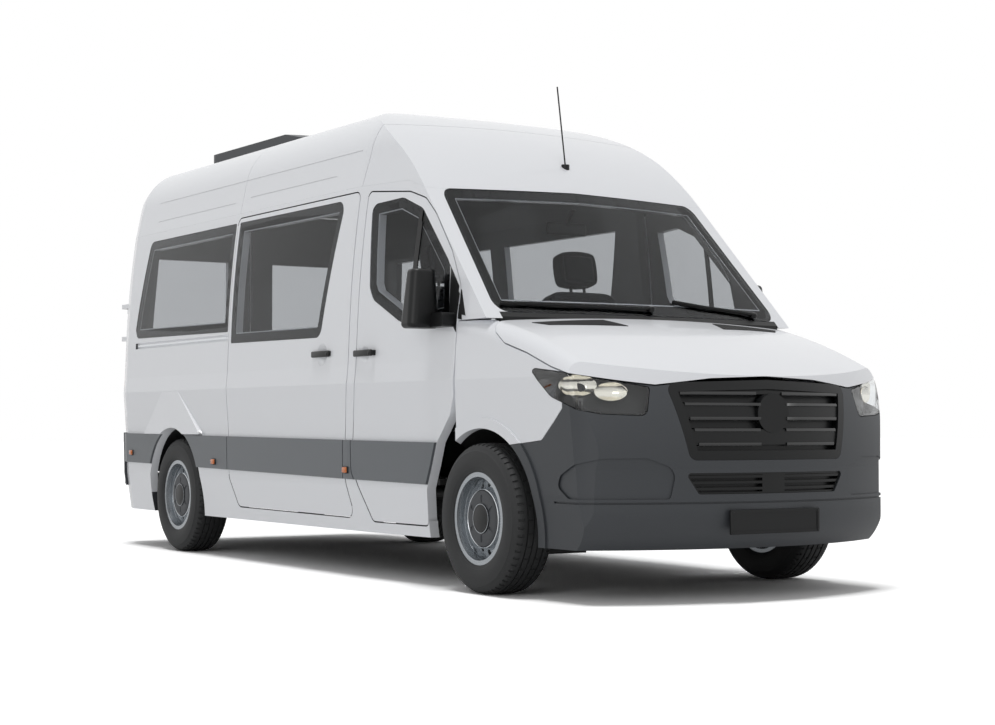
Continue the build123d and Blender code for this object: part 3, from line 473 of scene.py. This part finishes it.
def rail_steel():
    # Brushed steel: bright, with a faint unevenness in its sheen
    made, tree, shader = new_material("rail_steel", "#D2D5D8", 0.22, 0.9)
    grain(tree, shader, 3.0, 0.02, ("#CBCED1", "#D9DCDF"))
    return made


def chassis_black():
    # Black wax over chassis steel
    made, tree, shader = new_material("chassis_black", "#151515", 0.6)
    grain(tree, shader, 14.0, 0.3, ("#111111", "#1B1B1A"))
    return made


def cast_iron():
    # Raw cast iron: dark, rough and slightly mottled
    made, tree, shader = new_material("cast_iron", "#3B3B3B", 0.6, 0.6)
    grain(tree, shader, 8.0, 0.4, ("#343434", "#444342"))
    return made


def cabin_plastic():
    # Soft-touch charcoal cabin plastic with a leather-like grain
    made, tree, shader = new_material("cabin_plastic", "#232527", 0.62)
    grain(tree, shader, 4.0, 0.2, ("#202224", "#292B2D"))
    return made


THREAD_SPACING = 6.0
THREAD_DEPTH = 0.6


def seat_weave():
    # Flat-woven charcoal cloth, soft and matt; the thread spacing is coarser than real so that it shows
    made, tree, shader = new_material("seat_weave", "#26282B", 0.9, Sheen_Weight=0.25)
    place = add_node(tree, "ShaderNodeTexCoord")
    weave = add_node(tree, "ShaderNodeTexChecker",
                     {"Scale": MM / THREAD_SPACING, "Color1": linear("#232528"), "Color2": linear("#2E3135")},
                     {"Vector": place.outputs["Object"]})
    thread = add_node(tree, "ShaderNodeBump", {"Strength": 0.4, "Distance": THREAD_DEPTH / MM},
                      {"Height": weave.outputs["Fac"]})
    tree.links.new(weave.outputs["Color"], shader.inputs["Base Color"])
    tree.links.new(thread.outputs["Normal"], shader.inputs["Normal"])
    return made


def lamp_reflector():
    # Vacuum-coated aluminium reflector with a warm cast
    return new_material("lamp_reflector", "#F3EEE2", 0.12, 1.0)[0]


def mirror_silver():
    # Silvered mirror glass
    return new_material("mirror_silver", "#C9CED2", 0.02, 1.0)[0]


# Finish of each material slot of the record, and finishes that only pieces of this scene have
FINISHES = {
    "paint_white": lining_and_shade_enamel(),
    "grey_plastic": grained_bumper_plastic(),
    "black_plastic": black_abs(),
    "grey_moulding": moulding_plastic(),
    "glass": tinted_glass(),
    "clear_lens": lamp_polycarbonate(),
    "red_lens": red_acrylic(),
    "tyre": tyre_rubber(),
    "steel_wheel": silver_wheel_paint(),
    "chassis": chassis_black(),
    "cast": cast_iron(),
    "cabin_plastic": cabin_plastic(),
    "seat_fabric": seat_weave(),
}
NOSE_ENAMEL = white_enamel()
AMBER = amber_acrylic()
REFLECTOR = lamp_reflector()
MIRROR = mirror_silver()
RAIL = rail_steel()
GLOSS = gloss_abs()


def dress_cad_nodes():
    """Each CAD node takes the finish of its own material slot; the nose has neither lining nor painted inside
    shade.
    """
    for part in frame["record"]["subparts"]:
        piece = nodes[part["node"]]
        piece.data.materials.clear()
        piece.data.materials.append(FINISHES[part["material_slot"]])
    for name in ("bonnet", "wings"):
        nodes[name].data.materials[0] = NOSE_ENAMEL


# Wheels

# Tyre half profile: radius and distance from the middle plane; two grooves and a stepped bead
TYRE_SIDE = [(204, 80), (219.5, 86), (221.5, 103), (232, 109), (236, 110), (238, 112), (252, 115.5),
             (273, 117.2), (292, 116), (310, 113), (318, 111.5), (320, 109), (332, 103), (344, 95),
             (351, 85), (355, 68), (355.4, 52.5), (348, 51.5), (348, 44.5), (355.7, 43.5),
             (356, 19), (348.5, 18), (348.5, 12), (356, 11)]
TYRE_STEPS = 180
# Tread cuts: nearest and furthest from the middle plane, least outward look, steps from cut to cut, and depth
SIPES = [(65.5, 98, 0.1, 3, 5), (22, 42, 0.3, 5, 4)]
SIPE_BORDER = 1.2
TYRE_EDGE_ANGLE = 28.0


def tyres():
    """Road tyres with two pairs of grooves, cuts across the tread and a bead step on the side wall."""
    profile = TYRE_SIDE + [(r, -w) for r, w in reversed(TYRE_SIDE)] + TYRE_SIDE[:1]
    blank = spun_blank(profile, TYRE_STEPS)
    for near, far, outward, pitch, depth in SIPES:

        def cut(c, n):
            step = int((math.atan2(c.y, c.x) + math.pi) / (2 * math.pi) * TYRE_STEPS)
            across = near / MM < abs(c.z) < far / MM
            return across and n.x * c.x + n.y * c.y > outward and step % pitch == 0

        recess(blank, cut, SIPE_BORDER, depth)
    for name, x, side in WHEELS:
        tyre = put(copied(blank), (x, side * WHEEL_Y, TYRE_R), (0, side, 0))
        finish_piece(tyre, "road_tyre_" + name, "wheel_" + name, "tyre", angle=TYRE_EDGE_ANGLE)
        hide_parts("tyre_" + name)
    bpy.data.objects.remove(blank)


# Hub profiles: radius and distance from the wheel's middle plane, and the steps of each spin
COVER = [(71, 82), (77, 83), (112, 81), (124, 79.5), (131, 77), (133, 68), (118, 71.5), (100, 76), (71, 76),
         (71, 82)]
CAP = [(POLE, 91), (46, 91), (52, 89.5), (60, 89), (66, 88.6), (70, 86), (70.6, 80), (POLE, 80), (POLE, 91)]
RING = [(134, 60), (134, 73), (136.5, 76), (139.5, 73.5), (141, 62), (141, 54), (134, 60)]
COVER_STEPS = 72
CAP_STEPS = 48
RING_STEPS = 96
# Slots in the cover: inner and outer radius, turn from slot to slot, and the turn where each starts and ends
SLOT_INNER = 78
SLOT_OUTER = 112
SLOT_PITCH = 60
SLOT_TURN = (25, 35)
SLOT_BORDER = 2
SLOT_DEPTH = 4


def hub_covers():
    """Dark hub cover with six radial slots round a bare centre cap, in a bright ring."""
    cover = spun_blank(COVER, COVER_STEPS)

    def slot_face(c, n):
        turn = math.degrees(math.atan2(c.y, c.x)) % SLOT_PITCH
        reach = math.hypot(c.x, c.y) * MM
        return n.z > LEANING and SLOT_INNER < reach < SLOT_OUTER and SLOT_TURN[0] < turn < SLOT_TURN[1]

    recess(cover, slot_face, SLOT_BORDER, SLOT_DEPTH)
    cap = spun_blank(CAP, CAP_STEPS)
    ring = spun_blank(RING, RING_STEPS)
    parts = ((cover, "hub_cover_", "grey_plastic", None), (cap, "hub_cap_", "black_plastic", None),
             (ring, "hub_ring_", "steel_wheel", RAIL))
    for blank, label, slot, finish in parts:
        for name, x, side in WHEELS:
            made = put(copied(blank), (x, side * WHEEL_Y, TYRE_R), (0, side, 0))
            finish_piece(made, label + name, "wheel_" + name, slot, finish)
        bpy.data.objects.remove(blank)


# Nose

LAMP_FACING = 32.0
# Share of a normal that counts upwards, and the least that a face of the clear cover looks ahead
LAMP_UPWARD = 0.15
LAMP_AHEAD = 0.3
LAMP_COVER_T = 3
LAMP_HOUSING_T = 1.5
# Reflectors of the right lamp: place, bowl radius and depth; each bowl is wider than high
BOWLS = [((684, -856, 972), 76, 32), ((792, -752, 944), 66, 28)]
BOWL_T = 3
BOWL_RINGS = 8
BOWL_STEPS = 40
BOWL_STRETCH = (1.12, 0.62, 1.0)


def reflector_bowl(radius, depth):
    """Parabolic bowl with a thin wall, its rim at the height of the origin."""
    curve = [(radius * k / BOWL_RINGS, depth * (k / BOWL_RINGS) ** 2) for k in range(1, BOWL_RINGS + 1)]
    inner = [(r, h + BOWL_T) for r, h in reversed(curve)]
    closed = inner + [(POLE, BOWL_T), (POLE, 0)] + curve + inner[:1]
    bowl = spun_blank([(r, h - depth) for r, h in closed], BOWL_STEPS)
    bowl.scale = BOWL_STRETCH
    return bowl


def headlamps():
    """Clear cover, dark housing and two reflector bowls a side, in place of the solid lamp block."""
    turn = math.radians(LAMP_FACING)

    def front(c, n):
        sideways = math.copysign(math.sin(turn), c.y)
        return n.x * math.cos(turn) + n.y * sideways + LAMP_UPWARD * n.z > LAMP_AHEAD

    def behind(c, n):
        return not front(c, n)

    housing = copied(nodes["headlamps"])
    even_normals(housing)
    cover = copied(housing)
    for piece, dropped, wall in ((cover, behind, LAMP_COVER_T), (housing, front, LAMP_HOUSING_T)):
        pick(piece, dropped)
        bpy.ops.mesh.delete(type="FACE")
        leave()
        modify(piece, "SOLIDIFY", thickness=wall / MM, offset=-1.0)
    finish_piece(cover, "headlamp_covers", "body", "clear_lens")
    finish_piece(housing, "headlamp_housings", "body", "black_plastic")
    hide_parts("headlamps")
    bowls = []
    for side in (-1, 1):
        out = (math.cos(turn), side * math.sin(turn), 0)
        for (x, y, z), radius, depth in BOWLS:
            bowls.append(put(reflector_bowl(radius, depth), (x, -side * y, z), out))
    finish_piece(join(bowls), "headlamp_reflectors", "body", "clear_lens", REFLECTOR)


# Rolled edges on the grille bars: height above ground and half width across the van
SLATS = [(712, 395), (773, 412), (827, 428), (888, 445), (940, 460)]
SLAT_HALF_H = 5
SLAT_T = 12
SLAT_CUTS = 7
DISC_HALF = 75


def grille_slats():
    """Rolled glossy edges along the grille bars, either side of the plain disc."""
    made = []
    for z, half in SLATS:
        low, high = z - SLAT_HALF_H, z + SLAT_HALF_H
        for right, left in ((-half, -DISC_HALF), (DISC_HALF, half)):
            corners = [(AHEAD, right, low), (AHEAD, left, low), (AHEAD, left, high), (AHEAD, right, high)]
            slat = patch(corners, SLAT_CUTS)
            lay_on(slat, "grille", "x", SLAT_T)
            made.append(slat)
    piece = join(made)
    even_normals(piece)
    finish_piece(piece, "grille_slats", "body", "black_plastic", GLOSS)


# Routes of the two parked wipers, from tip to pivot
WIPERS = [[(-24, -819, 1378), (17, -502, 1374), (40, -101, 1370), (44, 20, 1369)],
          [(-9, 196, 1415), (3, 364, 1395), (5, 623, 1373), (11, 699, 1360)]]
# Bars along a route: shift ahead and up, width and height of the arm, then of the blade
WIPER_BARS = [(8, 6, 16, 9), (-2, -4, 5, 14)]
PIVOT = [(POLE, 14), (12, 14), (17, 8), (18, -12), (POLE, -12), (POLE, 14)]
PIVOT_STEPS = 20
# From a route's end to its pivot, and the pivot's heading, square to the scuttle
PIVOT_SHIFT = Vector((10, 0, 4))
PIVOT_UP = (0.3, 0, 1)


def wipers():
    """Two parked wipers: arm, rubber blade under it and a round pivot cap."""
    made = []
    for points in WIPERS:
        for ahead, up, width, height in WIPER_BARS:
            made.append(bar([(x + ahead, y, z + up) for x, y, z in points], width, height))
        pivot_place = Vector(points[-1]) + PIVOT_SHIFT
        made.append(put(spun_blank(PIVOT, PIVOT_STEPS), pivot_place, PIVOT_UP))
    finish_piece(join(made), "wipers", "body", "black_plastic")


# Right bonnet vent: corners, thickness, and the border and depth of each opening in its grid
VENT = [(140, -745, ABOVE), (140, -335, ABOVE), (285, -290, ABOVE), (205, -690, ABOVE)]
VENT_CUTS = 13
VENT_T = 6
VENT_BORDER = 3
VENT_DEPTH = 2.2
VENT_EDGE_ANGLE = 20.0


def bonnet_vents():
    """Air inlets with a grid of openings at the rear corners of the bonnet."""
    vent = patch(VENT, VENT_CUTS)
    lay_on(vent, "bonnet", "z", VENT_T)
    even_normals(vent)
    recess(vent, lambda c, n: n.z > LEANING, VENT_BORDER, VENT_DEPTH, use_individual=True)
    pair = join([vent, copied(vent, flip=True)])
    finish_piece(pair, "bonnet_vents", "bonnet", "black_plastic", angle=VENT_EDGE_ANGLE)


PLATE_W = 520
PLATE_H = 110
PLATE_EDGE = 4
PLATE_BORDER = 12
PLATE_SUNK = 3


def blank_plate(back, front, y, z, test):
    """Blank plate round a middle y and standing at z, with its face sunk in a shallow frame."""
    return sunk_box((back, y - PLATE_W / 2, z), (front, y + PLATE_W / 2, z + PLATE_H),
                    PLATE_EDGE, PLATE_BORDER, PLATE_SUNK, test)


# Front plate: back and front in x, middle y and lower edge
FRONT_PLATE = (1006, 1019, 0, 308)


def number_plate():
    plate = blank_plate(*FRONT_PLATE, facing_front)
    finish_piece(plate, "blank_plate", "body", "black_plastic")


# Sides

# Door handles: body that carries it, x and z of its middle, half length and side of the van
HANDLES = [("body", -1560, 1180, 105, -1), ("front_door_right", -1072, 1170, 100, -1),
           ("front_door_left", -1072, 1170, 100, 1)]
# Half length of a foot; then half height, nearest and furthest from the van's middle, and edge radius
FOOT_HALF = 16
FOOT = (14, 978, 1002, 5)
GRIP_FACE = 1012
GRIP = (17, 998, GRIP_FACE, 6.9)
LOCK = [(POLE, 3), (9, 3), (11, 0), (11, -14), (POLE, -14), (POLE, 3)]
LOCK_STEPS = 24
LOCK_INSET = 26


def lock_barrel(place, out):
    return put(spun_blank(LOCK, LOCK_STEPS), place, out)


def handles():
    """Pull handles bridging their dishes, with a lock barrel at one end."""
    for number, (body, x, z, half, side) in enumerate(HANDLES):
        grip = side_block(side, x, z, half, *GRIP)
        feet = [side_block(side, x + end * (half - FOOT_HALF), z, FOOT_HALF, *FOOT) for end in (-1, 1)]
        lock = lock_barrel((x + half - LOCK_INSET, side * GRIP_FACE, z), (0, side, 0))
        finish_piece(join([grip, *feet, lock]), "door_handle_%d" % number, body, "black_plastic")


# Side markers: x and z
MARKERS = [(-4360, 616), (-3005, 577), (-1276, 561)]
# Half length, half height, nearest and furthest from the van's middle, and edge radius
MARKER_LENS = (24, 15, 985, 1010, 5)
MARKER_FRAME = (28, 19, 985, 1004, 6)


def markers():
    """Amber side markers in thin black frames."""
    places = [(side, x, z) for side in (-1, 1) for x, z in MARKERS]
    lenses = [side_block(*place, *MARKER_LENS) for place in places]
    frames = [side_block(*place, *MARKER_FRAME) for place in places]
    finish_piece(join(lenses), "side_markers", "body", "red_lens", AMBER)
    finish_piece(join(frames), "marker_frames", "body", "black_plastic")


# Guide rail: corners of its sheet
RAIL_SHEET = [(-4310, BESIDE, 1313), (-2830, BESIDE, 1313), (-2830, BESIDE, 1326), (-4310, BESIDE, 1326)]
RAIL_CUTS = 12
RAIL_T = 12


def sliding_rail():
    """Guide rail lying in its slot behind the sliding door."""
    rail = patch(RAIL_SHEET, RAIL_CUTS)
    lay_on(rail, "side_panel_right", "y", RAIL_T)
    finish_piece(rail, "sliding_door_rail", "body", "steel_wheel", RAIL)


# Sheets on the right front door: name, node it lies on, axis, cuts, thickness, finish and corners
DOOR_SHEETS = [
    ("mirror_glass_", "mirror_right", "x", 6, 3, MIRROR,
     [(-520, -985, 1310), (-520, -1112, 1310), (-520, -1112, 1535), (-520, -985, 1535)]),
    ("mirror_sail_", "front_door_right", "y", 8, 5, None,
     [(-292, BESIDE, 1322), (-330, BESIDE, 1583), (-214, BESIDE, 1455), (-226, BESIDE, 1245)]),
    ("window_post_", "front_door_glass_right", "y", 8, 7, None,
     [(-660, BESIDE, 1330), (-660, BESIDE, 1880), (-622, BESIDE, 1880), (-622, BESIDE, 1330)]),
]
PILLAR_SAIL = [(-207, BESIDE, 1452), (-200, BESIDE, 1448), (-104, BESIDE, 1220), (-213, BESIDE, 1238)]
PILLAR_SAIL_CUTS = 8
PILLAR_SAIL_T = 5


def mirror_fittings():
    """Mirror glass, and the black sails that close the corner of the door window."""
    for label, node, axis, cuts, thickness, finish, corners in DOOR_SHEETS:
        right = patch(corners, cuts)
        lay_on(right, node, axis, thickness)
        even_normals(right)
        left = copied(right, flip=True)
        for piece, word in ((right, "right"), (left, "left")):
            finish_piece(piece, label + word, "front_door_" + word, "black_plastic", finish)
    sail = patch(PILLAR_SAIL, PILLAR_SAIL_CUTS)
    lay_on(sail, "side_panel_right", "y", PILLAR_SAIL_T)
    even_normals(sail)
    finish_piece(join([sail, copied(sail, flip=True)]), "pillar_sails", "body", "black_plastic")


# Cab

SEAT_Y = {"left": 430, "right": -430}
# Pads of one seat: low and high corners round y = 0, tilt, border width and roundness
PADS = [((-1135, -248, 765), (-585, 248, 895), 0, 60, 0.08),
        ((-1195, -238, 835), (-1065, 238, 1545), -12, 55, 0.08),
        ((-1275, -128, 1572), (-1175, 128, 1768), -12, 26, 0.3)]
# Sewn channel: width and fall of its outer wall, then width and rise of its inner one
CHANNEL = [(7, -10), (7, 11)]
# Pedestal round y = 0: low and high corners, edge radius, border and depth of its side panels
PEDESTAL = ((-1088, -188, 532), (-672, 188, 790), 18, 40, 6)
# Head rest posts: distance from the seat's middle, foot and top in x and z, and thickness
POST_Y = 45
POST_FOOT = (-1185, 1500)
POST_TOP = (-1218, 1640)
POST_T = 12


def across(place, y):
    """A place moved across the van."""
    return (place[0], place[1] + y, place[2])


def cushion(low, high, tilt, border, roundness):
    """Foam pad with crowned faces, a sewn border channel and tucked corners."""
    low, high = Vector(low), Vector(high)
    middle = (low + high) / 2
    piece = box(low - middle, high - middle)
    piece.data.transform(Matrix.Translation((-AXLE, 0, 0)))
    pick(piece, all_faces)
    bpy.ops.mesh.subdivide(number_cuts=3)
    leave()
    pick(piece, facing_front if tilt else facing_up)
    for width, rise in ((border, 0), *CHANNEL):
        bpy.ops.mesh.inset(thickness=width / MM, depth=rise / MM, use_even_offset=False)
    leave()
    modify(piece, "CAST", factor=roundness, cast_type="SPHERE")
    modify(piece, "SUBSURF", levels=2, render_levels=2)
    piece.rotation_euler = (0, math.radians(tilt), 0)
    piece.location = at(*middle)
    settle(piece)
    return piece


def seats():
    """Two cab seats: pads of woven cloth on moulded pedestals, with head rest posts."""
    for word, y in SEAT_Y.items():
        pads = [cushion(across(low, y), across(high, y), *shape) for low, high, *shape in PADS]
        seat = finish_piece(join(pads), "cab_seat_" + word, "body", "seat_fabric")
        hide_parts("seats")
        low, high, *shape = PEDESTAL
        pedestal = sunk_box(across(low, y), across(high, y), *shape, facing_sides)
        posts = []
        for post_y in (y - POST_Y, y + POST_Y):
            ends = [(x, post_y, z) for x, z in (POST_FOOT, POST_TOP)]
            posts.append(bar(ends, POST_T, POST_T))
        base = finish_piece(join([pedestal, *posts]), "seat_base_" + word, "body", "cabin_plastic")
        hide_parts("seats")


# Boxes on the dashboard: low and high corners, edge radius, border and depth of the face towards the seats
INSTRUMENT_HOOD = ((-330, 270, 1150), (-190, 550, 1238), 25, 18, 20)
DISPLAY = ((-325, -120, 1130), (-290, 150, 1290), 12, 10, 3)
AIR_VENT = ((-345, -60, 1085), (-300, 60, 1150), 8, 8, 12)
AIR_VENT_Y = (-780, -230, 680)
CAB_MIRROR = ((-690, -125, 1800), (-662, 125, 1868), 12, 6, 3)
CAB_MIRROR_STALK = [(-668, 0, 1850), (-640, 0, 1905), (-600, 0, 1930)]
STALK_T = 18


def dash_details():
    """Instrument hood, display and air vents on the dashboard."""
    made = [sunk_box(*shape, facing_rear) for shape in (INSTRUMENT_HOOD, DISPLAY)]
    low, high, *shape = AIR_VENT
    for y in AIR_VENT_Y:
        made.append(sunk_box(across(low, y), across(high, y), *shape, facing_rear))
    finish_piece(join(made), "dash_details", "body", "cabin_plastic")


def inside_mirror():
    """Cab mirror on a short stalk under the roof, with its glass facing the seats."""
    shell = sunk_box(*CAB_MIRROR, facing_rear)
    stalk = bar(CAB_MIRROR_STALK, STALK_T, STALK_T)
    finish_piece(join([shell, stalk]), "inside_mirror", "body", "black_plastic")


# Rear doors

# Handle on the right door: grip, the feet's middles across the van, a foot round y = 0, and its lock
REAR_GRIP = ((-4752, -196, 990), (-4738, -40, 1024), 6)
REAR_FEET_Y = (-176, -60)
REAR_FOOT = ((-4742, -16, 994), (-4714, 16, 1020), 5)
REAR_LOCK = (-4752, -62, 1007)
# Plate on the left door: back and front in x, middle y and lower edge; and the lamp bar over it
REAR_PLATE = (-4734, -4714, 390, 840)
LAMP_BAR = ((-4746, 110, 962), (-4714, 670, 996), 9)


def rear_door_fittings():
    """Pull handle with a lock barrel on the right door, and a blank plate under its lamp bar on the left."""
    made = [rounded_box(*REAR_GRIP)]
    low, high, radius = REAR_FOOT
    for y in REAR_FEET_Y:
        made.append(rounded_box(across(low, y), across(high, y), radius))
    made.append(lock_barrel(REAR_LOCK, (-1, 0, 0)))
    finish_piece(join(made), "rear_door_handle", "rear_door_right", "black_plastic")
    plate = join([blank_plate(*REAR_PLATE, facing_rear), rounded_box(*LAMP_BAR)])
    finish_piece(plate, "rear_blank_plate", "rear_door_left", "black_plastic")


# Studio, in metres

FLOOR_SIZE = 160.0
# Reflectance of the floor to the camera alone, so that it is white under plain light
FLOOR_SEEN = (1.45, 1.45, 1.45, 1.0)
WORLD_LEVEL = 0.31
LAMP_TARGET = Vector((0.0, 0.0, 1.0))
# Lamp kind, name, place, size (degrees for the sun-like one) and power
LAMPS = [("SUN", "overhead", (0.3, -0.8, 12.0), 18.0, 1.62),
         ("AREA", "front_right", (9.0, -10.0, 5.0), 6.0, 200.0)]


def floor():
    """Matt white floor that keeps the van's shadow."""
    piece = start("plane", size=FLOOR_SIZE)
    piece.name = "studio_floor"
    made, tree, shader = new_material("studio_floor_paint", "#F2F2F2", 0.95)
    path = add_node(tree, "ShaderNodeLightPath")
    seen = add_node(tree, "ShaderNodeBsdfDiffuse", {"Color": FLOOR_SEEN})
    mixed = add_node(tree, "ShaderNodeMixShader", links={0: path.outputs["Is Camera Ray"],
                                                         1: shader.outputs[0], 2: seen.outputs[0]})
    tree.links.new(mixed.outputs[0], tree.nodes["Material Output"].inputs["Surface"])
    piece.data.materials.append(made)


def surroundings():
    """White all round where it is seen directly, in gloss or through glass, and dimmer as light."""
    world = bpy.data.worlds.new("studio_world")
    bpy.context.scene.world = world
    world.use_nodes = True
    tree = world.node_tree
    back = tree.nodes["Background"]
    back.inputs["Color"].default_value = linear("#FFFFFF")
    path = add_node(tree, "ShaderNodeLightPath")
    clear = add_node(tree, "ShaderNodeMath", {"operation": "MAXIMUM"},
                     {0: path.outputs["Is Camera Ray"], 1: path.outputs["Is Transmission Ray"]})
    seen = add_node(tree, "ShaderNodeMath", {"operation": "MAXIMUM"},
                    {0: clear.outputs[0], 1: path.outputs["Is Glossy Ray"]})
    level = add_node(tree, "ShaderNodeMapRange", {"To Min": WORLD_LEVEL, "To Max": 1.0},
                     {"Value": seen.outputs[0]})
    tree.links.new(level.outputs[0], back.inputs["Strength"])


def lamps():
    """A large soft lamp overhead and a weaker one beside the camera."""
    for kind, name, place, size, power in LAMPS:
        lamp = bpy.data.lights.new(name, kind)
        lamp.energy = power
        if kind == "SUN":
            lamp.angle = math.radians(size)
        else:
            lamp.size = size
        holder = bpy.data.objects.new(name, lamp)
        bpy.context.scene.collection.objects.link(holder)
        holder.location = place
        aim = LAMP_TARGET - Vector(place)
        holder.rotation_euler = aim.to_track_quat("-Z", "Y").to_euler()


def camera():
    bpy.ops.object.camera_add(location=CAMERA_PLACE)
    made = bpy.context.object
    made.rotation_euler = (math.radians(CAMERA_TILT), 0, math.radians(CAMERA_AZIMUTH))
    made.data.sensor_width = SENSOR_WIDTH
    made.data.lens = FOCAL_PIXELS / IMAGE_WIDTH * SENSOR_WIDTH
    made.data.clip_end = CAMERA_REACH
    bpy.context.scene.camera = made


bpy.context.scene.view_settings.view_transform = "Standard"
dress_cad_nodes()
for make in (tyres, hub_covers, headlamps, grille_slats, wipers, bonnet_vents, number_plate,
             handles, markers, sliding_rail, mirror_fittings, seats, dash_details, inside_mirror,
             rear_door_fittings, floor, surroundings, lamps, camera):
    make()
